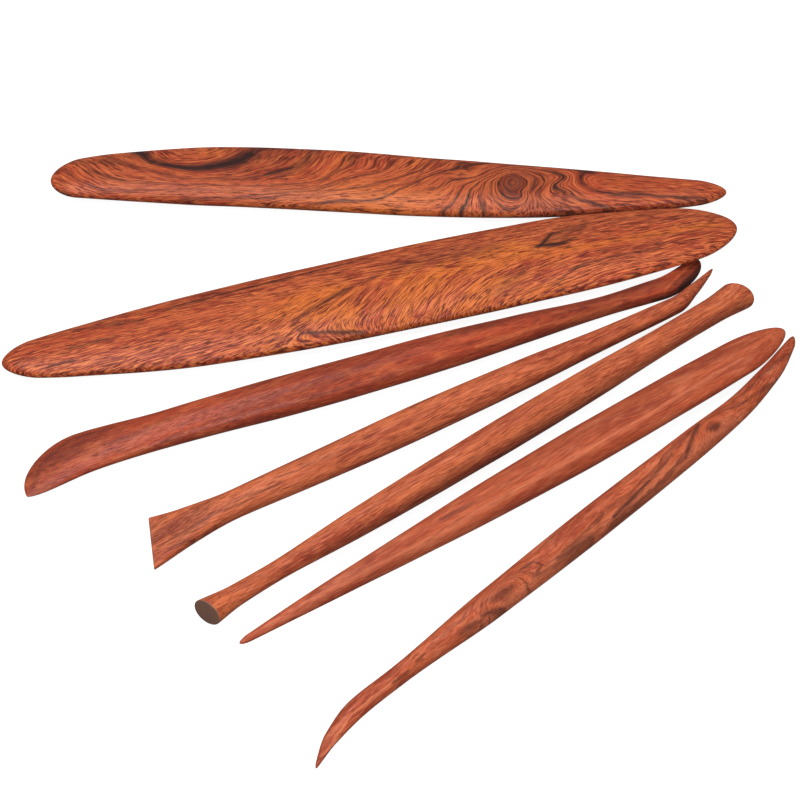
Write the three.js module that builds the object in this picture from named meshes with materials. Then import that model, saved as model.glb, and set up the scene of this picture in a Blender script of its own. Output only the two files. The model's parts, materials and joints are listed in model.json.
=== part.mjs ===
// Seven double-ended clay modelling tools of oiled rosewood, laid out in a fan on a table top: two
// broad paddles, four slim shaped sticks and one turned stick. Each is one solid piece of wood.
// Millimetres, +Z up, the table top at z = 0, +X roughly along the narrow paddle, +Y towards it.
import * as THREE from "three";

const POINTS_AROUND = 20; // of each cross-section
const SECTIONS = 38; // steps along each tool
const ROUND = 2; // fullness of a plain elliptical cross-section
const SKEW_REACH = 60; // mm from an end cut askew to where the sections stand square again

const ROSEWOOD = { orange: 0xb0562f, red: 0x96402c, brown: 0xa24a2c };

// A tool is described from its left tip, `at` mm along its straight axis. At each station `width`
// and `thick` are the full size of the cross-section, `bow` is how far its middle stands off the
// axis, and `lift` is how high its underside is. A lift below zero is sanded flat on the table.
// Fullness 2 is an ellipse, more is boxier, less is ridged. `point` is [x, y] of the left tip.
const TOOLS = [
  {
    name: "narrow_paddle",
    color: ROSEWOOD.orange,
    length: 265.2,
    point: [-137.2, 125],
    heading: -2,
    fullness: 2.3,
    leftEnd: { round: 11 },
    rightEnd: { round: 12 },
    stations: [
      { at: 0, width: 19.4, thick: 5.5, bow: -1.2, lift: 2.6 },
      { at: 24, width: 27.4, thick: 8.4, bow: 1.9, lift: 0.8 },
      { at: 67, width: 34.8, thick: 10.8, bow: 3.6, lift: -0.4 },
      { at: 110, width: 36, thick: 11, bow: 2.1, lift: -0.4 },
      { at: 154, width: 33.6, thick: 11, bow: -0.9, lift: -0.4 },
      { at: 198, width: 27.8, thick: 10.4, bow: -2.3, lift: -0.1 },
      { at: 240, width: 17.2, thick: 8.2, bow: -1.5, lift: 1 },
      { at: 265.2, width: 9.8, thick: 5.6, bow: -0.1, lift: 2.4 },
    ],
  },
  {
    name: "wide_paddle",
    color: ROSEWOOD.orange,
    length: 284.6,
    point: [-144, 12.7],
    heading: 16.7,
    fullness: 2.3,
    leftEnd: { round: 12 },
    rightEnd: { round: 20 },
    stations: [
      { at: 0, width: 14, thick: 5.5, bow: 0.6, lift: 2.6 },
      { at: 24, width: 24.2, thick: 8, bow: 0.1, lift: 1 },
      { at: 72, width: 37.4, thick: 11, bow: -1, lift: -0.4 },
      { at: 118, width: 42.8, thick: 11.4, bow: -0.6, lift: -0.4 },
      { at: 166, width: 44.6, thick: 11.4, bow: 0.8, lift: -0.4 },
      { at: 213, width: 43, thick: 11, bow: 1.3, lift: 0.2 },
      { at: 250, width: 35.2, thick: 8.8, bow: -0.5, lift: 2.2 },
      { at: 284.6, width: 22.6, thick: 5.8, bow: -2, lift: 4.2 },
    ],
  },
  {
    name: "curved_spatula_knife",
    color: ROSEWOOD.red,
    length: 276,
    point: [-128.4, -53.2],
    heading: 27,
    fullness: ROUND,
    leftEnd: { round: 27, tip: -0.4 },
    rightEnd: { round: 23, tip: 7.6 },
    stations: [
      { at: 0, width: 21.6, thick: 3, bow: 8, lift: 2, fullness: 2.2 },
      { at: 25, width: 19.6, thick: 6, bow: 10.6, lift: 1.2, fullness: 2.2 },
      { at: 58, width: 16.2, thick: 10, bow: 7.9, lift: 0 },
      { at: 103, width: 17, thick: 12.6, bow: 3.2, lift: 0 },
      { at: 148, width: 16.2, thick: 12.4, bow: 0.3, lift: 0 },
      { at: 193, width: 12, thick: 10.4, bow: -1.5, lift: 0 },
      { at: 229, width: 7, thick: 7, bow: -2.4, lift: 0, fullness: 2.6 },
      { at: 252, width: 8.4, thick: 5.8, bow: -2.7, lift: 0, fullness: 4 },
      { at: 276, width: 14, thick: 2.6, bow: 2.2, lift: 0, fullness: 4 },
    ],
  },
  {
    name: "skew_chisel_knife",
    color: ROSEWOOD.orange,
    length: 250,
    point: [-83.4, -78.7],
    heading: 35.5,
    fullness: ROUND,
    leftEnd: { skew: 0.51 },
    rightEnd: { round: 3, tip: 3 },
    stations: [
      { at: 0, width: 21.6, thick: 2.2, bow: 0.7, lift: 4.2, fullness: 5 },
      { at: 14, width: 15.4, thick: 5.2, bow: 0.8, lift: 2.8, fullness: 3.4 },
      { at: 34, width: 10.4, thick: 8.6, bow: 0, lift: 1.6, fullness: 2.3 },
      { at: 73, width: 12, thick: 11.2, bow: -1.6, lift: 0.4 },
      { at: 108, width: 12.8, thick: 11.8, bow: -2.5, lift: 0 },
      { at: 154, width: 11, thick: 10.8, bow: -4, lift: 0.4 },
      { at: 195, width: 7.8, thick: 8, bow: -5.2, lift: 1.4 },
      { at: 224, width: 7.4, thick: 6, bow: -5.6, lift: 2, fullness: 1.8 },
      { at: 236, width: 5, thick: 4.4, bow: -2.3, lift: 2.6, fullness: 1.7 },
      { at: 250, width: 1.2, thick: 1.4, bow: 2.8, lift: 4, fullness: 1.7 },
    ],
  },
  {
    name: "round_stamp_tool",
    color: ROSEWOOD.brown,
    length: 250.6,
    point: [-62.9, -110.7],
    heading: 40.6,
    fullness: ROUND,
    leftEnd: { skew: -0.27 },
    rightEnd: { round: 2.5, skew: -0.5 },
    turnedRadius: 6.2,
    stations: [
      { at: 0, radius: 5.1 },
      { at: 13, radius: 3.7 },
      { at: 27, radius: 3.4 },
      { at: 65, radius: 5 },
      { at: 106, radius: 5.9 },
      { at: 135, radius: 6.2 },
      { at: 169, radius: 5.9 },
      { at: 215, radius: 4.9 },
      { at: 235, radius: 5 },
      { at: 250.6, radius: 6.2 },
    ],
  },
  {
    name: "leaf_point_tool",
    color: ROSEWOOD.brown,
    length: 248.2,
    point: [-51.6, -124.7],
    heading: 39,
    fullness: ROUND,
    leftEnd: { round: 4 },
    rightEnd: { round: 24 },
    stations: [
      { at: 0, width: 2.2, thick: 2.2, bow: 0.4, lift: 5 },
      { at: 32, width: 6.2, thick: 6, bow: 0, lift: 3.8 },
      { at: 72, width: 10.4, thick: 10, bow: -0.3, lift: 1.8 },
      { at: 112, width: 14.2, thick: 13, bow: -0.5, lift: 0.2 },
      { at: 152, width: 16.8, thick: 12.8, bow: -0.5, lift: 0 },
      { at: 192, width: 17.2, thick: 10.8, bow: -0.4, lift: 0.8 },
      { at: 223, width: 16.4, thick: 9, bow: -0.4, lift: 1.6 },
      { at: 248.2, width: 13.4, thick: 7, bow: 0.3, lift: 2.6 },
    ],
  },
  {
    name: "hooked_knife",
    color: ROSEWOOD.brown,
    length: 267.2,
    point: [-25.5, -174.9],
    heading: 50.1,
    fullness: ROUND,
    leftEnd: { round: 2, tip: 0.6 },
    rightEnd: { round: 5, tip: 1.5 },
    stations: [
      { at: 0, width: 1, thick: 1, bow: 0.8, lift: 3, fullness: 1.7 },
      { at: 12, width: 5, thick: 3.8, bow: 4.6, lift: 2.4, fullness: 1.7 },
      { at: 26, width: 7, thick: 5.6, bow: 6.2, lift: 2, fullness: 1.8 },
      { at: 45, width: 6.6, thick: 6.6, bow: 5, lift: 1.6 },
      { at: 88, width: 10.8, thick: 10, bow: 1.5, lift: 0.6 },
      { at: 143, width: 12.2, thick: 11.6, bow: -2, lift: 0 },
      { at: 197, width: 11, thick: 10.2, bow: -5.2, lift: 0.4 },
      { at: 219, width: 9.8, thick: 8.2, bow: -6, lift: 1, fullness: 1.8 },
      { at: 244, width: 7.8, thick: 5.4, bow: -4, lift: 1.8, fullness: 1.7 },
      { at: 267.2, width: 3, thick: 2, bow: 0.8, lift: 2.6, fullness: 1.7 },
    ],
  },
];

// The value of one key at a place between the stations: a cubic through them that never overshoots.
function between(stations, key, at, fallback) {
  const value = (station) => station[key] ?? fallback;
  const slope = (i) =>
    (value(stations[i + 1]) - value(stations[i])) / (stations[i + 1].at - stations[i].at);
  const last = stations.length - 1;
  let i = 0;
  while (i < last - 1 && stations[i + 1].at < at) i++;
  const span = stations[i + 1].at - stations[i].at;
  const tangent = (j) => {
    if (j === 0) return slope(0);
    if (j === last) return slope(last - 1);
    const [before, after] = [slope(j - 1), slope(j)];
    return before * after > 0 ? (2 * before * after) / (before + after) : 0;
  };
  const t = (at - stations[i].at) / span;
  const [t2, t3] = [t * t, t * t * t];
  return (
    (2 * t3 - 3 * t2 + 1) * value(stations[i]) +
    (t3 - 2 * t2 + t) * span * tangent(i) +
    (3 * t2 - 2 * t3) * value(stations[i + 1]) +
    (t3 - t2) * span * tangent(i + 1)
  );
}

// How much of the section is left at a distance from an end that is rounded to a quarter ellipse.
function rounding(distance, round) {
  if (!round || distance >= round) return 1;
  return Math.sqrt(1 - ((round - distance) / round) ** 2);
}

// A turned stick's stations, as the widths and heights of its round sections.
function turned(tool) {
  return tool.stations.map(({ at, radius }) => ({
    at,
    width: 2 * radius,
    thick: 2 * radius,
    bow: 0,
    lift: tool.turnedRadius - radius,
  }));
}

// The centre and half-sizes of the section at a place along the tool, with its ends rounded.
function sectionOf(tool, stations, at) {
  const read = (key) => between(stations, key, at, 0);
  const left = rounding(at, tool.leftEnd.round);
  const right = rounding(tool.length - at, tool.rightEnd.round);
  const kept = left * right;
  const tip = (left < 1 ? tool.leftEnd.tip : tool.rightEnd.tip) ?? read("bow");
  return {
    middle: tip + (read("bow") - tip) * kept,
    height: read("lift") + read("thick") / 2,
    halfWidth: (read("width") / 2) * kept,
    halfThick: (read("thick") / 2) * kept,
    power: 2 / between(stations, "fullness", at, tool.fullness),
  };
}

// How far along the tool a point at this side moves, where an end is cut askew.
function skewed(tool, at, side) {
  const share = (end, distance) => (end.skew ?? 0) * Math.max(0, 1 - distance / SKEW_REACH) ** 2;
  return side * (share(tool.leftEnd, at) + share(tool.rightEnd, tool.length - at));
}

// One point of a section, which is a superellipse that never dips below the table.
function pointOf(tool, section, at, angle) {
  const swell = (v) => Math.sign(v) * Math.abs(v) ** section.power;
  const side = section.middle + section.halfWidth * swell(Math.cos(angle));
  const z = section.height + section.halfThick * swell(Math.sin(angle));
  return [at + skewed(tool, at, side), side, Math.max(z, 0)];
}

// The closed surface of a tool, its sections closest together towards the ends.
function toolGeometry(tool) {
  const stations = tool.turnedRadius ? turned(tool) : tool.stations;
  const positions = [];
  const faces = [];
  const rings = [];
  for (let i = 0; i <= SECTIONS; i++) {
    const at = (tool.length * (1 - Math.cos((Math.PI * i) / SECTIONS))) / 2;
    const section = sectionOf(tool, stations, at);
    if (section.halfWidth < 1e-3) continue;
    rings.push(positions.length / 3);
    for (let j = 0; j < POINTS_AROUND; j++) {
      positions.push(...pointOf(tool, section, at, (2 * Math.PI * j) / POINTS_AROUND));
    }
  }
  const centreAt = (at) => {
    const { middle, height } = sectionOf(tool, stations, at);
    positions.push(at + skewed(tool, at, middle), middle, height);
    return positions.length / 3 - 1;
  };
  const [leftCentre, rightCentre] = [centreAt(0), centreAt(tool.length)];
  for (let j = 0; j < POINTS_AROUND; j++) {
    const k = (j + 1) % POINTS_AROUND;
    for (let r = 0; r < rings.length - 1; r++) {
      const [a, b] = [rings[r], rings[r + 1]];
      faces.push(a + j, b + k, b + j, a + j, a + k, b + k);
    }
    faces.push(leftCentre, rings[0] + k, rings[0] + j);
    faces.push(rightCentre, rings.at(-1) + j, rings.at(-1) + k);
  }
  const geometry = new THREE.BufferGeometry();
  geometry.setAttribute("position", new THREE.Float32BufferAttribute(positions, 3));
  geometry.setIndex(faces);
  geometry.computeVertexNormals();
  return geometry;
}

const fan = new THREE.Group();
for (const tool of TOOLS) {
  const wood = new THREE.MeshStandardMaterial({ color: tool.color, roughness: 0.42, metalness: 0 });
  const mesh = new THREE.Mesh(toolGeometry(tool), wood);
  mesh.name = tool.name;
  mesh.position.set(tool.point[0], tool.point[1], 0);
  mesh.rotation.z = THREE.MathUtils.degToRad(tool.heading);
  fan.add(mesh);
}

// The origin is on the table, under the middle of the whole fan.
const middle = new THREE.Box3().setFromObject(fan, true).getCenter(new THREE.Vector3());
fan.position.set(-middle.x, -middle.y, 0);
const set = new THREE.Group();
set.add(fan);

export default set;
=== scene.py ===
"""Seven double-ended clay modelling tools of oiled rosewood, laid out in a fan on a white table."""

import json
from math import cos, hypot, pi, radians, sin, sqrt

import bpy
import numpy
from mathutils import Matrix, Vector


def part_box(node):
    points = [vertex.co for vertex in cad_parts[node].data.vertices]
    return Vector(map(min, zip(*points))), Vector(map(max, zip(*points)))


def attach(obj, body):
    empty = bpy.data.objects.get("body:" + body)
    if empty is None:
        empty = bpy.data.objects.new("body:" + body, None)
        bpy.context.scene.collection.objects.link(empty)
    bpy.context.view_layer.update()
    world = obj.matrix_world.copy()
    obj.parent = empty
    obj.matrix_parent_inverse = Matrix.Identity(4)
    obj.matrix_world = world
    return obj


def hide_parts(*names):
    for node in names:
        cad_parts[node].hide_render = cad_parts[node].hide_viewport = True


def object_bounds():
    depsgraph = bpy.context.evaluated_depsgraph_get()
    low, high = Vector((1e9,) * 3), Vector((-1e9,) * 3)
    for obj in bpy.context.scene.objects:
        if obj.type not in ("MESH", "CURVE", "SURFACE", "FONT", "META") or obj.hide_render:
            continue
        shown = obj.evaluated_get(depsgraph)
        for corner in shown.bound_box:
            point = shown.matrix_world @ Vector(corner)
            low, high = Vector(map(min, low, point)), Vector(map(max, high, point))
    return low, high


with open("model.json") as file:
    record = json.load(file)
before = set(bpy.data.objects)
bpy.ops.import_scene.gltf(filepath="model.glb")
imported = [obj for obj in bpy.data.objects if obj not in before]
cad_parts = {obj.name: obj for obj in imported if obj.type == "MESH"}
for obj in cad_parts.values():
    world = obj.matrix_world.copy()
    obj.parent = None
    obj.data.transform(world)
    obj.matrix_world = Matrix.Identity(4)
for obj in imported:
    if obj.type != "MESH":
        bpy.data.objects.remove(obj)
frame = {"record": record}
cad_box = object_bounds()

MM = 0.001

# ---------------------------------------------------------------- the tools' shapes, in millimetres

AROUND = 80  # points round each section
SECTIONS = 230  # steps along each tool
SNUG = 0.9999  # how much of its CAD box a tool fills
SKEW_REACH = 60  # how far from an end cut askew the sections stand square again
WAVE = 0.1  # how far at most the hand-finished surface dips below the true form
WAVY_FROM = 4  # half width and half thickness from which a section takes the full wave
THINNEST = 0.02  # sections of a smaller half width are left out
CAP_SIZES = (0.6, 0.3)  # the rings that close an end, against its last section

# Each tool is described from its left tip, `at` along its straight axis. A station holds the full
# width and thickness of the section, how far its middle bows off the axis, how high its underside
# is, and, where it isn't the tool's own, its fullness: 2 is an ellipse, more is boxier, less is
# ridged. `round` is how far back from its tip an end is rounded, `edge` how much its rim is eased.
TOOLS = {
    "narrow_paddle": {
        "length": 265.2,
        "heading": -2,
        "ringed": True,
        "sections": 400,
        "fullness": 2.3,
        "left": {"round": 11},
        "right": {"round": 12},
        "stations": [
            (0, 19.4, 5.5, -1.2, 2.6),
            (24, 27.4, 8.4, 1.9, 0.8),
            (67, 34.8, 10.8, 3.6, -0.4),
            (110, 36, 11, 2.1, -0.4),
            (154, 33.6, 11, -0.9, -0.4),
            (198, 27.8, 10.4, -2.3, -0.1),
            (240, 17.2, 8.2, -1.5, 1),
            (265.2, 9.8, 5.6, -0.1, 2.4),
        ],
    },
    "wide_paddle": {
        "length": 284.6,
        "heading": 16.7,
        "fullness": 2.3,
        "left": {"round": 12},
        "right": {"round": 20},
        "stations": [
            (0, 14, 5.5, 0.6, 2.6),
            (24, 24.2, 8, 0.1, 1),
            (72, 37.4, 11, -1, -0.4),
            (118, 42.8, 11.4, -0.6, -0.4),
            (166, 44.6, 11.4, 0.8, -0.4),
            (213, 43, 11, 1.3, 0.2),
            (250, 35.2, 8.8, -0.5, 2.2),
            (284.6, 22.6, 5.8, -2, 4.2),
        ],
    },
    "curved_spatula_knife": {
        "length": 276,
        "heading": 27,
        "fullness": 2,
        "left": {"round": 27, "tip": -0.4},
        "right": {"round": 23, "tip": 7.6},
        "stations": [
            (0, 21.6, 3, 8, 2, 2.2),
            (25, 19.6, 6, 10.6, 1.2, 2.2),
            (58, 16.2, 10, 7.9, 0),
            (103, 17, 12.6, 3.2, 0),
            (148, 16.2, 12.4, 0.3, 0),
            (193, 12, 10.4, -1.5, 0),
            (229, 7, 7, -2.4, 0, 2.6),
            (252, 8.4, 5.8, -2.7, 0, 4),
            (276, 14, 2.6, 2.2, 0, 4),
        ],
    },
    "skew_chisel_knife": {
        "length": 250,
        "heading": 35.5,
        "fullness": 2,
        "left": {"skew": 0.51, "edge": 0.5},
        "right": {"round": 3, "tip": 3},
        "stations": [
            (0, 21.6, 2.2, 0.7, 4.2, 5),
            (14, 15.4, 5.2, 0.8, 2.8, 3.4),
            (34, 10.4, 8.6, 0, 1.6, 2.3),
            (73, 12, 11.2, -1.6, 0.4),
            (108, 12.8, 11.8, -2.5, 0),
            (154, 11, 10.8, -4, 0.4),
            (195, 7.8, 8, -5.2, 1.4),
            (224, 7.4, 6, -5.6, 2, 1.8),
            (236, 5, 4.4, -2.3, 2.6, 1.7),
            (250, 1.2, 1.4, 2.8, 4, 1.7),
        ],
    },
    "round_stamp_tool": {
        "length": 250.6,
        "heading": 40.6,
        "fullness": 2,
        "left": {"skew": -0.27, "edge": 0.35},
        "right": {"round": 2.5, "skew": -0.5},
        "turned": 6.2,
        "stations": [
            (0, 5.1),
            (13, 3.7),
            (27, 3.4),
            (65, 5),
            (106, 5.9),
            (135, 6.2),
            (169, 5.9),
            (215, 4.9),
            (235, 5),
            (250.6, 6.2),
        ],
    },
    "leaf_point_tool": {
        "length": 248.2,
        "heading": 39,
        "fullness": 2,
        "left": {"round": 4},
        "right": {"round": 24},
        "stations": [
            (0, 2.2, 2.2, 0.4, 5),
            (32, 6.2, 6, 0, 3.8),
            (72, 10.4, 10, -0.3, 1.8),
            (112, 14.2, 13, -0.5, 0.2),
            (152, 16.8, 12.8, -0.5, 0),
            (192, 17.2, 10.8, -0.4, 0.8),
            (223, 16.4, 9, -0.4, 1.6),
            (248.2, 13.4, 7, 0.3, 2.6),
        ],
    },
    "hooked_knife": {
        "length": 267.2,
        "heading": 50.1,
        "fullness": 2,
        "left": {"round": 2, "tip": 0.6},
        "right": {"round": 5, "tip": 1.5},
        "stations": [
            (0, 1, 1, 0.8, 3, 1.7),
            (12, 5, 3.8, 4.6, 2.4, 1.7),
            (26, 7, 5.6, 6.2, 2, 1.8),
            (45, 6.6, 6.6, 5, 1.6),
            (88, 10.8, 10, 1.5, 0.6),
            (143, 12.2, 11.6, -2, 0),
            (197, 11, 10.2, -5.2, 0.4),
            (219, 9.8, 8.2, -6, 1, 1.8),
            (244, 7.8, 5.4, -4, 1.8, 1.7),
            (267.2, 3, 2, 0.8, 2.6, 1.7),
        ],
    },
}


def full_stations(tool):
    """Every station as (at, width, thickness, bow, lift, fullness)."""
    if "turned" in tool:
        axis = tool["turned"]
        return [(at, 2 * r, 2 * r, 0, axis - r, 2) for at, r in tool["stations"]]
    return [tuple(s) if len(s) == 6 else (*s, tool["fullness"]) for s in tool["stations"]]


def between(stations, column, at):
    """One column's value between the stations: a cubic through them that never overshoots."""
    last = len(stations) - 1
    i = 0
    while i < last - 1 and stations[i + 1][0] < at:
        i += 1
    a, b = stations[i], stations[i + 1]

    def slope(j):
        rise = stations[j + 1][column] - stations[j][column]
        return rise / (stations[j + 1][0] - stations[j][0])

    def tangent(j):
        if j == 0 or j == last:
            return slope(min(j, last - 1))
        before, after = slope(j - 1), slope(j)
        return 2 * before * after / (before + after) if before * after > 0 else 0

    span = b[0] - a[0]
    t = (at - a[0]) / span
    return (
        (2 * t**3 - 3 * t**2 + 1) * a[column]
        + (t**3 - 2 * t**2 + t) * span * tangent(i)
        + (3 * t**2 - 2 * t**3) * b[column]
        + (t**3 - t**2) * span * tangent(i + 1)
    )


def rounding(from_end, reach):
    """How much of a section is left at a distance from an end rounded to a quarter ellipse."""
    if not reach or from_end >= reach:
        return 1
    return sqrt(max(0, 1 - ((reach - from_end) / reach) ** 2))


def easing(from_end, edge):
    """How far a section draws in at a distance from an end whose rim is eased by that radius."""
    if not edge or from_end >= edge:
        return 0
    return edge - sqrt(edge**2 - (edge - from_end) ** 2)


def section_of(tool, stations, at):
    """The section's middle, height, half width, half thickness and swell at a place."""
    left, right = tool["left"], tool["right"]
    beyond = tool["length"] - at
    width, thick, bow, lift, fullness = (between(stations, column, at) for column in range(1, 6))
    kept_left = rounding(at, left.get("round"))
    kept = kept_left * rounding(beyond, right.get("round"))
    tip = (left if kept_left < 1 else right).get("tip", bow)
    eased = easing(at, left.get("edge")) + easing(beyond, right.get("edge"))
    return (
        tip + (bow - tip) * kept,
        lift + thick / 2,
        width / 2 * kept - eased,
        thick / 2 * kept - eased,
        2 / fullness,
    )


def skewed(tool, at, side):
    """How far along the tool a point at this side moves, where an end is cut askew."""
    shares = (
        end.get("skew", 0) * max(0, 1 - from_end / SKEW_REACH) ** 2
        for end, from_end in ((tool["left"], at), (tool["right"], tool["length"] - at))
    )
    return side * sum(shares)


def hand_wave(at, angle, seed):
    """The slight hollows that scraping and sanding by hand leave in a surface."""
    along = 0.4 * sin(at / 9.1 + seed) + 0.25 * sin(at / 4.3 + 2.1 * seed + 2 * angle)
    return WAVE * (along + 0.35 * sin(3 * angle + at / 15 + seed) - 1) / 2


def tool_rings(tool, seed):
    """The tool's sections from left to right, each a list of (at, side, height) points."""
    stations = full_stations(tool)
    length = tool["length"]
    rings = []
    steps = tool.get("sections", SECTIONS)
    for i in range(steps + 1):
        at = length * (1 - cos(pi * i / steps)) / 2
        middle, height, half_width, half_thick, swell = section_of(tool, stations, at)
        if half_width < THINNEST:
            continue
        calm = min(1, half_width / WAVY_FROM, half_thick / WAVY_FROM)
        ring = []
        for j in range(AROUND):
            angle = 2 * pi * j / AROUND
            across, up = cos(angle), sin(angle)
            stray = calm * hand_wave(at, angle, seed)
            side = middle + (half_width + stray) * (abs(across) ** swell) * (1 if across > 0 else -1)
            z = height + (half_thick + stray) * (abs(up) ** swell) * (1 if up > 0 else -1)
            ring.append((at + skewed(tool, at, side), side, max(z, 0)))
        rings.append(ring)
    return rings


# Where the narrow paddle's growth rings come to its surface, as (at, side) points for each ring. They
# nest round a place past its far edge, sweep across it, part round a knot and close round its tip,
# where the last two are.
KNOT = (181.5, -5)
RINGS = {
    2: [(57, 15)],
    10: [(34, 13), (37, 8.5), (41, 5), (47, 3), (56, 1.5), (63, 2.5), (70, 5), (76, 8.5), (79, 14)],
    17: [(21, 11), (27, 6.5), (40, 0.5), (47, -2.5), (58, -4.5), (73, -4.5), (89, 0), (98, 5), (102, 14)],
    24: [(12, 6.5), (19, -1), (35, -6.5), (60, -7.5), (80, -8), (94, -7), (106, -4.5), (112, 0.5), (118, 13)],
    29: [(4, 3), (20, -9), (66, -10), (83, -10.5), (99, -9.5), (119, -2.4), (129, 1.2), (133, 8)],
    35: [(40, -13.5), (76, -13), (95, -12), (111, -10), (122, -8), (130, -5), (137, -2), (145, 3), (150, 10)],
    41: [(94, -15.5), (110, -14.5), (127, -14), (135, -11), (141, -7), (147, -2), (155, 3), (161, 9)],
    46: [(140, -11.5), (145, -8.6), (151, -6.8), (156, -1.8)],
    52: [(153, -18), (156, -16), (159, -13), (161, -8.7), (164, -4.6), (169, -1.3), (173, 2.3), (178, 5.6)],
    53: [(185, 7), (192, 5.5), (197.5, 3.8), (201, 0.8), (197, -4.2), (201, -8), (206, -11.8), (215, -13.4)],
    57: [(161, -18), (164, -13), (165, -8.6), (170, -1.8), (175.5, 2.6), (182, 5.9), (193, 0.5), (191, -10)],
    61: [(171, -18), (169, -13), (170, -8), (173.5, -1), (177, 2.2), (182, 4.8), (190.5, 0), (188.5, -9)],
    65: [(173, -5), (174.5, -13), (178, -16), (183, -16), (187, -12.5), (189, -5), (186.5, 1.5), (181, 3.4)],
    71: [(176, -5), (178, -11), (185, -11), (187, -5), (185, 0.5), (181.5, 2), (178, 0.5)],
    78: [KNOT],
    47: [(213, 5.5), (209, 4.3), (208, 0.7), (212, -6), (217, -7.5), (224, -8.3), (239, -8), (252, -7)],
    44: [(225, 0), (225, 7), (245, 0), (262, -3)],
}
RING_STRETCH = 0.6  # lengths along the tool count this much against lengths across it


def bent_plate(pins):
    """The heights, at any places, of a thin plate bent to pass through every pin (x, y, height)."""
    pins = numpy.array(pins, float)
    where = pins[:, :2]

    def sag(places):
        reach = numpy.linalg.norm(places[:, None] - where[None], axis=2)
        return reach**2 * numpy.log(reach + 1e-9)

    def flat(places):
        return numpy.column_stack([numpy.ones(len(places)), places])

    corner = numpy.zeros((3, 3))
    system = numpy.block([[sag(where), flat(where)], [flat(where).T, corner]])
    weights = numpy.linalg.solve(system, numpy.append(pins[:, 2], corner[0]))
    return lambda places: numpy.hstack([sag(places), flat(places)]) @ weights


def ring_numbers(points):
    """The narrow paddle's growth ring at each (at, side, height) point."""
    pins = [(at * RING_STRETCH, side, ring) for ring, places in RINGS.items() for at, side in places]
    places = numpy.array(points, float)[:, :2] * (RING_STRETCH, 1)
    return bent_plate(pins)(places)


def fitted(points, box):
    """The points set in the middle of a box, on its bottom, and drawn in or out by a hair to fill it."""
    columns = []
    for axis, (low, high) in enumerate(zip(*box)):
        column = [p[axis] for p in points]
        start, end = min(column), max(column)
        scale = (high - low) / (end - start) * SNUG
        fixed, place = (start, low) if axis == 2 else ((start + end) / 2, (low + high) / 2)
        columns.append([place + (c - fixed) * scale for c in column])
    return list(zip(*columns))


def tool_mesh(name, tool, seed):
    """The tool's closed surface, in place, with `grain` holding each point's place in the wood."""
    rings = tool_rings(tool, seed)
    for end in (0, -1):
        rim = rings[end]
        centre = [sum(p[axis] for p in rim) / AROUND for axis in range(3)]
        for shrink in CAP_SIZES:
            inner = [tuple(c + (p[a] - c) * shrink for a, c in enumerate(centre)) for p in rim]
            rings.insert(0 if end == 0 else len(rings), inner)
        rings.insert(0 if end == 0 else len(rings), [tuple(centre)])
    points = [p for ring in rings for p in ring]
    faces = []
    start = 0
    for ring, following in zip(rings, rings[1:]):
        onward = start + len(ring)
        for j in range(AROUND):
            k = (j + 1) % AROUND
            if len(ring) == 1:
                faces.append((start, onward + k, onward + j))
            elif len(following) == 1:
                faces.append((start + j, start + k, onward))
            else:
                faces.append((start + j, start + k, onward + k, onward + j))
        start = onward
    mesh = bpy.data.meshes.new(name)
    turn = Matrix.Rotation(radians(tool["heading"]), 3, "Z")
    placed = fitted([turn @ Vector(p) * MM for p in points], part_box(name))
    mesh.from_pydata(placed, [], faces)
    mesh.validate()
    mesh.polygons.foreach_set("use_smooth", [True] * len(mesh.polygons))
    grain = mesh.attributes.new("grain", "FLOAT_VECTOR", "POINT")
    grain.data.foreach_set("vector", [c for p in points for c in p])
    if tool.get("ringed"):
        rings = mesh.attributes.new("rings", "FLOAT", "POINT")
        rings.data.foreach_set("value", ring_numbers(points))
    return mesh


# ---------------------------------------------------------------- numbers inside a material

LINES_IN_A_RAMP = 10  # a colour ramp holds 32 stops, and each line takes three


class Term:
    """A number that a material's nodes work out at each point, and that adds and multiplies."""

    def __init__(self, tree, socket):
        self.tree = tree
        self.socket = socket

    def math(self, operation, *others):
        node = self.tree.nodes.new("ShaderNodeMath")
        node.operation = operation
        for slot, value in zip(node.inputs, (self, *others)):
            plug(self.tree, slot, value)
        return Term(self.tree, node.outputs[0])

    def __add__(self, other):
        return self.math("ADD", other)

    def __sub__(self, other):
        return self.math("SUBTRACT", other)

    def __mul__(self, other):
        return self.math("MULTIPLY", other)

    def __truediv__(self, other):
        return self.math("DIVIDE", other)

    def squared(self):
        return self * self

    def above(self, low, high):
        """0 below low, 1 above high, and a smooth rise between."""
        node = self.tree.nodes.new("ShaderNodeMapRange")
        node.interpolation_type = "SMOOTHSTEP"
        plug(self.tree, node.inputs["Value"], self)
        node.inputs["From Min"].default_value = low
        node.inputs["From Max"].default_value = high
        return Term(self.tree, node.outputs["Result"])

    def within(self, low, high, soft):
        """1 between low and high, falling to 0 over a soft distance outside them."""
        return self.above(low - soft, low) * (1 - self.above(high, high + soft))

    def __rsub__(self, other):
        return self * -1 + other


def plug(tree, slot, value):
    """Sets an input to a number or colour, or links a term or a socket to it."""
    if isinstance(value, Term):
        tree.links.new(value.socket, slot)
    elif isinstance(value, bpy.types.NodeSocket):
        tree.links.new(value, slot)
    else:
        slot.default_value = value


def distance(across, along):
    """How far a point is from a place, from its two offsets."""
    return (across.squared() + along.squared()).math("SQRT")


def hill(from_middle):
    """A smooth hill of height 1 over a distance counted in its own half widths."""
    return (from_middle.squared() * -1).math("EXPONENT")


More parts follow.
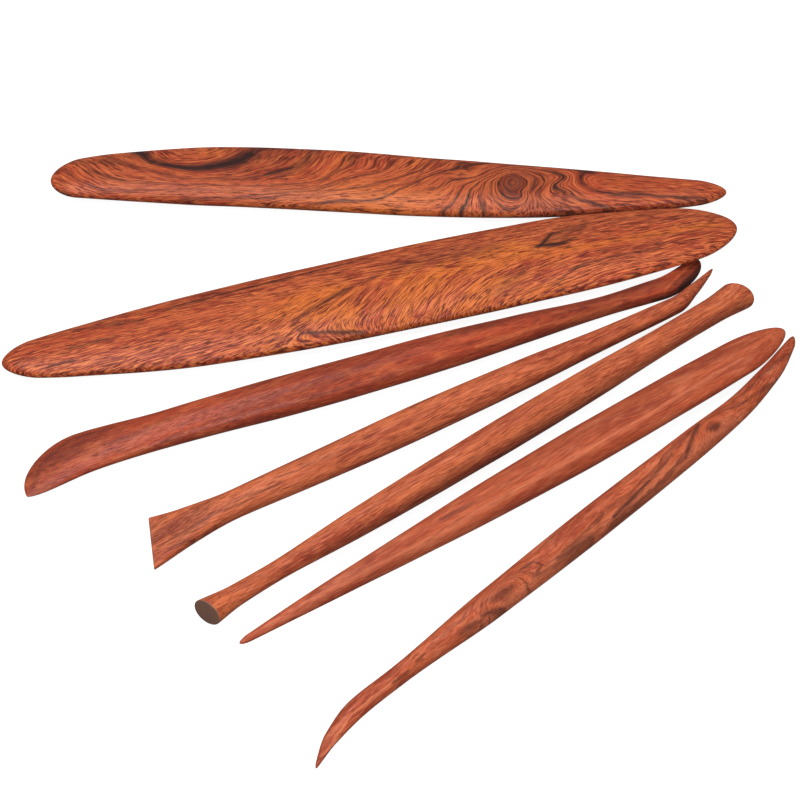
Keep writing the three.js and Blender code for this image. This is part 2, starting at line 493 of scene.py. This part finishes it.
class Wood:
    """A material being made: its nodes and the place in the wood, in millimetres."""

    def __init__(self, name):
        self.material = bpy.data.materials.new(name)
        self.material.use_nodes = True
        self.tree = self.material.node_tree
        self.shader = self.tree.nodes["Principled BSDF"]
        parts = self.tree.nodes.new("ShaderNodeSeparateXYZ")
        self.tree.links.new(self.stored("grain", "Vector"), parts.inputs[0])
        self.x, self.y, self.z = (Term(self.tree, parts.outputs[i]) for i in range(3))
        self.end_grain = None  # where a cut end shows, if any
        self.upright = 1  # how much the grain changes with height, against how it changes sideways

    def stored(self, name, output):
        """What the mesh stores under that name."""
        node = self.tree.nodes.new("ShaderNodeAttribute")
        node.attribute_name = name
        return node.outputs[output]

    def rings(self):
        return Term(self.tree, self.stored("rings", "Fac"))

    def noise(self, x, y, z, detail=2.0, rough=0.5):
        """Smooth noise between about 0.2 and 0.8, one feature to each unit of the three terms."""
        join = self.tree.nodes.new("ShaderNodeCombineXYZ")
        for slot, value in zip(join.inputs, (x, y, z)):
            plug(self.tree, slot, value)
        node = self.tree.nodes.new("ShaderNodeTexNoise")
        self.tree.links.new(join.outputs[0], node.inputs["Vector"])
        node.inputs["Scale"].default_value = 1
        node.inputs["Detail"].default_value = detail
        node.inputs["Roughness"].default_value = rough
        return Term(self.tree, node.outputs["Fac"])

    def grainy(self, grains, length, width, detail, rough=0.5):
        """Noise drawn out along the grain, for the (place across the grain, share) pairs in grains."""
        total = None
        for side, share in grains:
            up = self.z * self.upright / width
            part = self.noise(self.x / length, side / width, up, detail, rough) * share
            total = total + part if total else part
        return total

    def lines(self, rings, bands):
        """Dark lines at some rings: (ring, reach before, reach after, depth)."""
        if len(bands) > LINES_IN_A_RAMP:
            rest = self.lines(rings, bands[LINES_IN_A_RAMP:])
            return self.lines(rings, bands[:LINES_IN_A_RAMP]).math("MAXIMUM", rest)
        far = bands[-1][0] + bands[-1][2] + 1
        node = self.tree.nodes.new("ShaderNodeValToRGB")
        node.color_ramp.interpolation = "LINEAR"
        stops = [(0, 0)]
        for ring, before, after, depth in bands:
            stops += [(ring - before, 0), (ring, depth), (ring + after, 0)]
        for i, (ring, depth) in enumerate(stops):
            ramp = node.color_ramp.elements
            stop = ramp[i] if i < 2 else ramp.new(1)
            stop.position = ring / far
            stop.color = (depth, depth, depth, 1)
        plug(self.tree, node.inputs["Fac"], rings / far)
        return Term(self.tree, node.outputs["Color"])

    def smudges(self, marks, stray=1.2):
        """Smudges along short lines, thinning to their ends: (from x, y, to x, y, half width, depth)."""
        shift = (self.noise(self.x / 5, self.y / 2.5, self.z / 3, 2) - 0.5) * stray
        total = None
        for x0, y0, x1, y1, half_width, depth in marks:
            length = hypot(x1 - x0, y1 - y0)
            ahead, aside = (x1 - x0) / length, (y1 - y0) / length
            x, y = self.x - x0, self.y + shift - y0
            off_middle = (x * ahead + y * aside - length / 2).math("ABSOLUTE")
            past_end = (off_middle - length / 2).math("MAXIMUM", 0)
            taper = (off_middle * 2 / length).math("MINIMUM", 1).squared()
            across = (y * ahead - x * aside) * (taper * 0.7 + 1)
            mark = hill(distance(past_end, across) / half_width) * depth
            total = total.math("MAXIMUM", mark) if total else mark
        return total

    def mix(self, amount, first, second):
        """The first colour, turning into the second by an amount from 0 to 1."""
        node = self.tree.nodes.new("ShaderNodeMix")
        node.data_type = "RGBA"
        plug(self.tree, node.inputs[0], amount)
        plug(self.tree, node.inputs[6], first)
        plug(self.tree, node.inputs[7], second)
        return node.outputs[2]

    def bump(self, height, depth_mm):
        node = self.tree.nodes.new("ShaderNodeBump")
        node.inputs["Distance"].default_value = depth_mm * MM
        plug(self.tree, node.inputs["Height"], height)
        self.tree.links.new(node.outputs[0], self.shader.inputs["Normal"])


def light_of(shade):
    """The light that one part of a screen colour, 0 to 255, stands for."""
    share = shade / 255
    return share / 12.92 if shade < 10 else ((share + 0.055) / 1.055) ** 2.4


def srgb(red, green, blue):
    """A colour given as it looks on a screen, as a material takes it."""
    return (light_of(red), light_of(green), light_of(blue), 1)


# ---------------------------------------------------------------- rosewood

PEACH = srgb(220, 130, 94)
TAN = srgb(218, 120, 68)
GOLD = srgb(214, 114, 46)
AMBER = srgb(203, 106, 65)
ORANGE = srgb(187, 89, 55)
RUST = srgb(156, 66, 42)
RED = srgb(172, 70, 44)
BRICK = srgb(142, 57, 39)
WINE = srgb(116, 46, 34)
UMBER = srgb(82, 34, 19)
INK = srgb(52, 30, 28)
DULL = srgb(126, 98, 84)

FIBRE_ROUGHNESS = 0.12  # between the smoothest and the roughest fibres
PORE_ROUGHNESS = 0.2  # what a pore adds
RELIEF_MM = 0.05
SHEEN = 0.22  # the oiled surface's specular level


def rosewood(
    name,
    figure,
    fresh=ORANGE,
    ripe=RUST,
    glow=AMBER,
    light=PEACH,
    streaks=0.5,
    fibres=0.5,
    pores=0.4,
    roughness=0.42,
):
    """Oiled rosewood: broad bands, fine fibres, dark figure lines and open pores along the grain.

    figure takes the wood and returns its dark lines, its shimmer and its grains: pairs of a place
    across the grain and that grain's share of the surface. On some of the slim tools the dark lines
    also carry painted shade and the shimmer carries painted highlights. The bands go from the fresh
    colour to the ripe one, the shimmer and its painted highlights have the glow colour and the pale
    fibres the light one. streaks, fibres and pores say how strongly each of those shows.
    """
    wood = Wood(name)
    dark, shimmer, grains = figure(wood)
    band = wood.grainy(grains, length=70, width=6, detail=3)
    streak = wood.grainy(grains, length=40, width=1.6, detail=4, rough=0.6)
    cloud = wood.grainy(grains, length=11, width=4, detail=3, rough=0.6)
    fibre = wood.grainy(grains, length=7, width=0.42, detail=2, rough=0.65)
    worn = wood.grainy(grains, length=13, width=3, detail=2).above(0.36, 0.6)
    pore = wood.grainy(grains, length=4.2, width=0.4, detail=1).above(0.55, 0.64)
    pore = pore * (worn * 0.4 + 0.5)

    colour = wood.mix(band.above(0.36, 0.64), fresh, ripe)
    colour = wood.mix(streak.above(0.47, 0.7) * streaks, colour, WINE)
    colour = wood.mix(cloud.above(0.5, 0.72) * 0.35, colour, AMBER)
    # the shimmer, with the painted highlights of the slim tools, in the glow colour
    colour = wood.mix(shimmer, colour, glow)
    colour = wood.mix(fibre.above(0.5, 0.34) * 0.7 * fibres, colour, light)
    colour = wood.mix(fibre.above(0.5, 0.66) * fibres, colour, WINE)
    colour = wood.mix(pore * pores, colour, UMBER)
    # the dark figure, with the painted shade of the slim tools, in ink
    colour = wood.mix(dark, colour, INK)
    if wood.end_grain:
        colour = wood.mix(wood.end_grain, colour, DULL)
    plug(wood.tree, wood.shader.inputs["Base Color"], colour)
    uneven = pore * PORE_ROUGHNESS + fibre * FIBRE_ROUGHNESS
    plug(wood.tree, wood.shader.inputs["Roughness"], uneven + (roughness - FIBRE_ROUGHNESS / 2))
    wood.shader.inputs["Specular IOR Level"].default_value = SHEEN
    wood.bump(pore * -1 + fibre * -0.3, RELIEF_MM)
    return wood.material


PADDLE_UPRIGHT = 0.3  # keeps the fine grain from breaking up on the paddles' steep flanks


def ragged(wood, reach):
    """A small raggedness, in millimetres, for lines and edges in the wood."""
    return (wood.noise(wood.x / 4, wood.y / 1.8, wood.z / 2, 3, 0.6) - 0.5) * reach


def ringed(wood):
    """The narrow paddle's growth rings, some of them dark, with a knot among them."""
    x, y, rings = wood.x, wood.y, wood.rings()
    wood.upright = PADDLE_UPRIGHT
    dark = wood.lines(
        rings + ragged(wood, 1.2),
        [
            (10, 3.6, 2.9, 1.0),
            (17, 1.4, 2.2, 0.6),
            (24, 1, 1.8, 0.45),
            (29, 0.8, 1.6, 0.4),
            (35, 0.9, 1.2, 0.6),
            (38, 0.6, 0.8, 0.35),
            (41, 0.9, 1.2, 0.75),
            (47, 0.9, 1.1, 0.9),
            (52.5, 0.9, 1, 0.9),
            (57, 1, 1.1, 0.95),
            (61, 0.9, 1, 0.8),
            (65, 0.9, 1, 0.75),
            (68, 0.6, 0.7, 0.5),
            (71, 1.5, 1.9, 1.0),
        ],
    )
    faded = wood.noise(x / 14, y / 6, wood.z / 7, 2).above(0.34, 0.56) * 0.4 + 0.8
    # the dark rings fade out under the knot, near the middle of the near edge and towards the tip
    calm = hill(distance((x - 195) / 1.9, y + 15) / 5)
    calm = calm.math("MAXIMUM", hill(distance((x - 98) / 1.8, y + 15.5) / 3.5) * 0.9)
    calm = calm.math("MAXIMUM", x.within(126, 156, 5) * rings.within(44, 50, 1) * 0.6)
    calm = calm.math("MAXIMUM", x.above(224, 236)).math("MAXIMUM", hill(distance(x - 217, y - 9) / 4))
    dark = dark * faded * (1 - calm)
    blots = wood.smudges(
        [
            (78, 12.5, 81, 15, 2.2, 0.9),
            (85, -1.6, 95, 2.8, 1.9, 0.95),
            (100, 8, 101.5, 12, 1.5, 0.8),
            (48, 2.8, 62, 1.6, 1.2, 0.8),
            (20, 7, 27, 5, 2.4, 0.5),
            (117, 9, 118, 13, 1.2, 0.8),
            (132, 8, 134, 10, 1.4, 0.5),
            (75, -12.7, 105, -10, 0.4, 0.6),
            (105, -10, 114, -6, 0.4, 0.6),
            (189, -8, 190.5, -1, 1.5, 0.7),
            (188, -14.5, 206, -15.5, 3.2, 0.3),
            (222, -7, 241, -7.6, 0.8, 0.85),
            (239, -7.6, 257, -6.3, 0.8, 0.75),
        ]
    )
    browner = rings.within(12, 15, 3) * x.above(64, 80) * 0.25
    core = rings.above(71.5, 73.5) * 0.55
    dark = dark.math("MAXIMUM", blots).math("MAXIMUM", browner).math("MAXIMUM", core)
    warm = hill(distance((x - 128) / 4, y + 14) / 8) * 0.7
    shimmer = wood.noise(x / 30, rings / 9, wood.z / 9, 2).above(0.5, 0.75) * 0.4
    straight = x.above(206, 220).math("MAXIMUM", hill(distance((x - 138) / 3, y + 14) / 6))
    return dark, shimmer.math("MAXIMUM", warm), [(rings, 1 - straight), (y, straight)]


def interlocked(wood):
    """The wide paddle's grain, which swings across its near part, with a bright ribbon on the swing."""
    x, y = wood.x, wood.y
    wood.upright = PADDLE_UPRIGHT
    folded = ((y + 18).squared() + 6).math("SQRT") - 18
    across = y + (folded - y) * hill((x - 122) / 20)
    waver = wood.noise(x / 30, y / 12, wood.z / 16, 1) * 5
    swung = across - ((x - 148) / 42).math("TANH") * 34 + waver
    straight = (y + x * 0.03).above(-1, 8)
    ribbon = x.within(112, 196, 36) * (y - x * 0.08).within(-30, -12, 12)
    shimmer = wood.noise(x / 24, swung / 6, wood.z / 8, 2).above(0.36, 0.6) * ribbon * 0.85
    seam = hill((y + 2.6) / 1.8) * x.within(185, 272, 14) * 0.65
    edge_line = hill((y - x * 0.09 - 3.4 + ragged(wood, 1.5)) / 0.5) * x.within(74, 130, 22)
    marks = wood.smudges(
        [
            (28, 7.8, 52, 5.2, 0.9, 0.6),
            (52, 5, 54, 5.4, 0.8, 0.9),
            (62, 7.6, 82, 10.4, 0.6, 0.6),
            (16, -7.4, 25, -8.1, 0.8, 0.55),
            (25, -2, 42, -1, 0.9, 0.55),
            (106, -12, 118, -6, 1.2, 0.6),
            (118, -6, 132, 0, 1.3, 0.7),
            (132, 0, 143, 3.6, 0.9, 0.45),
            (106, -13, 107.5, -18, 0.8, 0.4),
            (107.5, -18, 130, -21.5, 0.9, 0.8),
            (205.5, 2.9, 216, 1.7, 1.6, 1.0),
            (212, 1.9, 221, 3.6, 1.1, 0.8),
            (206, 2.4, 213.5, 8.9, 1.2, 0.95),
            (212, 8, 227, 10.4, 1.2, 0.6),
            (209, 4.5, 217, 6, 2.6, 0.35),
            (224, 6, 228, 14, 1.8, 0.4),
            (205, -18.5, 213, -13.4, 0.7, 0.35),
            (213, -13, 222, -10.9, 0.7, 0.7),
            (222, -10.9, 250, -10.2, 0.7, 0.45),
            (262, -1.4, 281, -5, 0.5, 0.5),
            (240, 6.2, 280, 3, 0.6, 0.4),
            (232, 10.5, 268, 9, 0.7, 0.4),
            (226, -6.5, 270, -9.5, 0.6, 0.4),
            (233, -1, 279, -7.6, 0.6, 0.35),
            (150, 8, 190, 7, 5, 0.3),
            (184, -16, 194, -10, 4, 0.3),
        ]
    )
    grains = [(swung, 1 - straight), (y + waver * 0.5, straight)]
    return edge_line.math("MAXIMUM", marks), shimmer.math("MAXIMUM", seam), grains


def plain(seed, streaky, marks, painted_highlights=()):
    """A figure of straight grain with a few long dark streaks, the tool's own dark marks, some of them
    painted shade, and its painted highlights.

    seed sets each tool's wood apart from the others'.
    """

    def figure(wood):
        x, y, z = wood.x + seed * 500, wood.y, wood.z
        side = y + wood.noise(x / 60, y / 14, z / 14, 1) * 6
        dark = wood.noise(x / 45, side / 2.1, z / 2.1, 3).above(0.58, 0.74) * streaky
        shimmer = wood.noise(x / 18, y / 4, z / 4, 2).above(0.5, 0.72) * 0.4
        # the painted highlights join the shimmer
        if painted_highlights:
            shimmer = shimmer.math("MAXIMUM", wood.smudges(painted_highlights, stray=0.6))
        # the marks, streaks in the wood or painted shade, join the dark figure
        return dark.math("MAXIMUM", wood.smudges(marks, stray=0.8)), shimmer, [(side + seed * 90, 1)]

    return figure


# The dark and the bright smudges of the slim tools, as Wood.smudges takes them. The dark ones are streaks and
# knots in the wood and painted shade along rims, flanks and faces turned from the light; the bright ones are
# painted highlights.
# Painted shade: along the spatula's far rim, towards the far edge of the shaft, and over the beak's upper
# face.
SPATULA_PAINTED_SHADE = [
    (3, 2, 10, 11, 1.8, 0.45),
    (10, 11, 22, 16.2, 1.8, 0.45),
    (22, 16.2, 38, 14.4, 1.6, 0.35),
    (165, 1, 250, -1, 3.6, 0.4),
    (90, 8, 165, 5, 1.6, 0.2),
    (4, 8, 24, 12, 5, 0.3),
]
# A painted highlight line down the near side of the shaft and beak.
SPATULA_PAINTED_HIGHLIGHTS = [(172, -6.6, 198, -6.2, 0.7, 0.7), (198, -6.2, 234, -5.6, 0.6, 0.6)]
# Streaks in the wood, and one mark of painted shade along the far rim.
CHISEL_STREAKS_AND_SHADE = [
    (1, 5, 10, 7, 0.6, 0.5),
    (1, 3, 12, 3.6, 0.5, 0.4),
    (1, 0.6, 24, 2, 3.4, 0.3),
    (1, -2.9, 26, -2.8, 0.8, 0.5),
    (4, -4.6, 20, -4.4, 0.5, 0.4),
    (27, -3.3, 38, -4.1, 0.45, 0.55),
    (30, -2.2, 42, -2.8, 0.4, 0.4),
    (37, -3.2, 50, -4.1, 0.45, 0.6),
    (49, -1.7, 58, -3.3, 0.4, 0.5),
    (60, -2.3, 76, -4.3, 1.4, 0.25),
    # painted shade along the far rim
    (160, 0, 215, -2, 1.6, 0.3),
    (3, -5.8, 13, -7, 0.6, 0.5),
]
# A dark band along the near underside: partly the wood's own tone, partly painted shade.
STAMP_DARK_WOOD_AND_SHADE = [
    (46, -4, 72, -5.2, 1.2, 0.25),
    (66, -5.4, 135, -6, 1.7, 0.3),
    (120, -6, 200, -6, 1.7, 0.3),
    (190, -6, 246, -6, 1.7, 0.35),
]
# Painted highlights: a ridge line on the flared right end and a broad band along the top.
STAMP_PAINTED_HIGHLIGHTS = [(222, -3.2, 246, -3.2, 0.5, 0.8), (20, 1, 90, 1.5, 2.4, 0.4)]
# Two streaks in the wood, then painted shade along the far rim and over the upper face.
LEAF_STREAKS_AND_SHADE = [
    (83, -1.4, 97, -2.6, 0.9, 0.45),
    (97, -2.6, 126, -2.2, 0.8, 0.25),
    # painted shade from here on
    (60, 4.8, 110, 6.8, 0.9, 0.5),
    (115, 0.6, 232, 0.6, 3.4, 0.14),
    (110, 6.8, 235, 7.6, 0.9, 0.5),
]
# A painted highlight band along the near side.
LEAF_PAINTED_HIGHLIGHTS = [
    (20, -0.6, 75, -4.4, 0.9, 0.45),
    (65, -4.4, 120, -5.9, 0.9, 0.45),
    (110, -5.8, 175, -6.2, 0.9, 0.5),
    (165, -6.2, 222, -4.4, 0.7, 0.5),
]
# Knots and streaks in the wood, with two lines of painted shade along the far rim near the right end.
HOOK_KNOTS_AND_SHADE = [
    (87, -0.6, 95, -1.6, 2.1, 0.6),
    (80, -1.5, 89, -4.2, 0.8, 0.7),
    (70, -0.6, 77, -1.6, 1, 0.6),
    (102.5, 0.4, 108, -0.5, 0.6, 0.7),
    (108, -0.5, 109.6, -3.3, 0.6, 0.7),
    (109.6, -3.3, 105, -3.8, 0.6, 0.6),
    (116, -5, 132, -6.8, 1.4, 0.6),
    (144, -7.2, 165, -6.8, 0.7, 0.8),
    (165, -6.8, 180, -5.5, 0.8, 0.6),
    (183.6, -8.7, 191.7, -5.7, 0.9, 0.75),
    (191.7, -5.7, 199, -3.3, 1.2, 0.75),
    (200.5, -7.6, 204, -8.2, 1.9, 0.75),
    (204, -4, 213, -5.4, 0.6, 0.4),
    (213, -5.4, 221, -7.6, 0.6, 0.4),
    # painted shade along the far rim
    (185, 1.4, 219, -1, 0.7, 0.5),
    (217, -1.1, 250, 0.3, 0.7, 0.5),
    (40, 3, 47, 2.4, 0.5, 0.6),
    (51, 2.6, 55, 2.7, 0.5, 0.6),
]
# Painted highlights: a ridge line on the left blade and a painted reflection along the near flank.
HOOK_PAINTED_HIGHLIGHTS = [
    (4, 1.4, 22, 4.6, 0.45, 0.7),
    (20, 4.4, 42, 3.2, 0.45, 0.6),
    (70, -2.6, 150, -7.2, 1.5, 0.4),
    (140, -7, 215, -10.4, 1.5, 0.4),
]


def beaked(wood):
    """Plain red wood with its painted shade and painted highlights, and painted shade on the near bevelled
    face, the low flank and the rim of the thin beak at its right, under a painted highlight along the ridge
    above them.
    """
    dark, shimmer, grains = plain(3, 0.2, SPATULA_PAINTED_SHADE, SPATULA_PAINTED_HIGHLIGHTS)(wood)
    x, y, z = wood.x, wood.y, wood.z
    down_bevel = (x - 263) * 0.62 - 0.7 - y
    # painted shade on the beak's near bevelled face
    shaded_bevel = down_bevel.above(-0.3, 0.3) * x.above(250, 256) * 0.4
    # painted shadow, darkest on the rim past the bevelled face
    rim = down_bevel.above(1.2, 3.4) * x.above(252, 258) * 0.9
    # painted shade low on the beak's flank, where it nears the table
    shaded_flank = (1 - z.above(1.6, 3.8)) * x.within(248, 264, 3) * 0.85
    # a painted highlight along the ridge between the top and the bevelled face
    highlighted_crease = hill((down_bevel + 0.8) / 0.4) * x.within(254, 268, 4) * 0.6
    for part in (shaded_bevel, rim, shaded_flank):
        dark = dark.math("MAXIMUM", part)
    return dark, shimmer.math("MAXIMUM", highlighted_crease), grains


def knotty(wood):
    """Straight streaks that part round two dark knots, with painted shade along the far rim near the right
    end and painted highlights on the left blade's ridge and along the near flank.
    """
    x, y, z = wood.x, wood.y, wood.z
    knot = hill(distance((x - 91) / 2.2, y + 1.1) / 4.2) + hill(distance((x - 202.5) / 2.2, y + 8) / 3.4)
    side = y * -0.55 + knot * 9 + ragged(wood, 1) + wood.noise(x / 30, y / 12, z / 12, 1) * 3 + 2.5
    dark = wood.lines(side, [(3.2, 0.2, 0.6, 0.3), (6.3, 0.3, 0.8, 0.5), (8.3, 0.3, 0.7, 0.6)])
    shimmer = wood.noise(x / 18, y / 4, z / 4, 2).above(0.5, 0.72) * 0.4
    # the painted highlights join the shimmer
    shimmer = shimmer.math("MAXIMUM", wood.smudges(HOOK_PAINTED_HIGHLIGHTS, stray=0.4))
    return dark.math("MAXIMUM", wood.smudges(HOOK_KNOTS_AND_SHADE, stray=0.8)), shimmer, [(side, 1)]


def stamped(wood):
    """Plain wood whose flat stamping face shows dull end grain, with a dark near underside that is partly the
    wood's own tone and partly painted shade, and painted highlights on the flared end's ridge and along the
    top.
    """
    wood.end_grain = (1 - (wood.x + wood.y * 0.27).above(0.1, 0.4)) * 0.9
    return plain(5, 0.2, STAMP_DARK_WOOD_AND_SHADE, STAMP_PAINTED_HIGHLIGHTS)(wood)


PADDLE = {"ripe": RED, "glow": GOLD, "light": TAN, "roughness": 0.36}
BEAKED = {"fresh": RED, "ripe": BRICK, "light": AMBER, "streaks": 0.7, "pores": 0.5, "roughness": 0.3}
WOODS = {
    "narrow_paddle": (ringed, {**PADDLE, "streaks": 0.2, "fibres": 1, "pores": 0.9}),
    "wide_paddle": (interlocked, {**PADDLE, "streaks": 0.25, "fibres": 1.5, "pores": 1}),
    "curved_spatula_knife": (beaked, BEAKED),
    "skew_chisel_knife": (plain(4, 0.4, CHISEL_STREAKS_AND_SHADE), {"fresh": AMBER, "fibres": 0.7}),
    "round_stamp_tool": (stamped, {"fresh": AMBER, "streaks": 0.3, "fibres": 0.7}),
    "leaf_point_tool": (
        plain(6, 0.15, LEAF_STREAKS_AND_SHADE, LEAF_PAINTED_HIGHLIGHTS),
        {"glow": PEACH, "streaks": 0.4, "fibres": 0.4, "pores": 0.2},
    ),
    "hooked_knife": (knotty, {"glow": PEACH, "streaks": 0.2, "fibres": 0.5}),
}


def body_with(node):
    """The body that a CAD node belongs to."""
    for body, nodes in frame["record"]["behaviour"]["bodies"].items():
        if node in nodes:
            return body
    raise KeyError(node)


def make_tools():
    for seed, (name, tool) in enumerate(TOOLS.items()):
        piece = bpy.data.objects.new(name + "_wood", tool_mesh(name, tool, seed))
        bpy.context.scene.collection.objects.link(piece)
        figure, looks = WOODS[name]
        piece.data.materials.append(rosewood(name + "_rosewood", figure, **looks))
        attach(piece, body_with(name))
        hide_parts(name)


# ---------------------------------------------------------------- table, light and camera

VIEW_HEIGHT = radians(42)  # how steeply the camera looks down
VIEW_DISTANCE = 0.95
AIM_OFF_MIDDLE = (-0.00035, 0.01546)  # where the point looked at lies from the fan's middle
LENS_MM = 118.8
SENSOR_MM = 36
TABLE_SIZE = 12
TABLE_GAP = 0.0002  # how far below the tools' lowest point the table lies


def make_table():
    bpy.ops.mesh.primitive_plane_add(size=TABLE_SIZE, location=(0, 0, cad_box[0][2] - TABLE_GAP))
    table = bpy.context.object
    table.name = "table_top"
    material = bpy.data.materials.new("white_table")
    material.use_nodes = True
    shader = material.node_tree.nodes["Principled BSDF"]
    shader.inputs["Base Color"].default_value = (0.3, 0.3, 0.3, 1)
    shader.inputs["Roughness"].default_value = 0.8
    shader.inputs["Emission Color"].default_value = (1, 1, 1, 1)
    shader.inputs["Emission Strength"].default_value = 0.9
    table.data.materials.append(material)
    table.visible_diffuse = False
    table.visible_glossy = False


def area_light(name, place, size, power):
    """A soft panel of light that faces the origin."""
    light = bpy.data.lights.new(name, "AREA")
    light.shape = "RECTANGLE"
    light.size, light.size_y = size
    light.energy = power
    lamp = bpy.data.objects.new(name, light)
    lamp.location = place
    lamp.rotation_euler = (Vector((0, 0, 0)) - Vector(place)).to_track_quat("-Z", "Y").to_euler()
    bpy.context.scene.collection.objects.link(lamp)


def make_light():
    world = bpy.data.worlds.new("studio")
    world.use_nodes = True
    world.node_tree.nodes["Background"].inputs["Color"].default_value = (1, 1, 1, 1)
    world.node_tree.nodes["Background"].inputs["Strength"].default_value = 0.12
    bpy.context.scene.world = world
    area_light("sky_panel", (-0.25, 0.0, 1.35), (1.6, 1.1), 21)
    area_light("front_panel", (0.3, -1.2, 0.75), (1.2, 0.8), 13)


def make_camera():
    middle = (Vector(cad_box[0]) + Vector(cad_box[1])) / 2
    aim = Vector((middle.x + AIM_OFF_MIDDLE[0], middle.y + AIM_OFF_MIDDLE[1], cad_box[0][2]))
    lens = bpy.data.cameras.new("camera")
    lens.lens = LENS_MM
    lens.sensor_width = SENSOR_MM
    camera = bpy.data.objects.new("camera", lens)
    back = Vector((0, -cos(VIEW_HEIGHT), sin(VIEW_HEIGHT)))
    camera.location = aim + back * VIEW_DISTANCE
    camera.rotation_euler = (-back).to_track_quat("-Z", "Y").to_euler()
    bpy.context.scene.collection.objects.link(camera)
    bpy.context.scene.camera = camera


bpy.context.scene.view_settings.view_transform = "Standard"
make_camera()
make_tools()
make_table()
make_light()
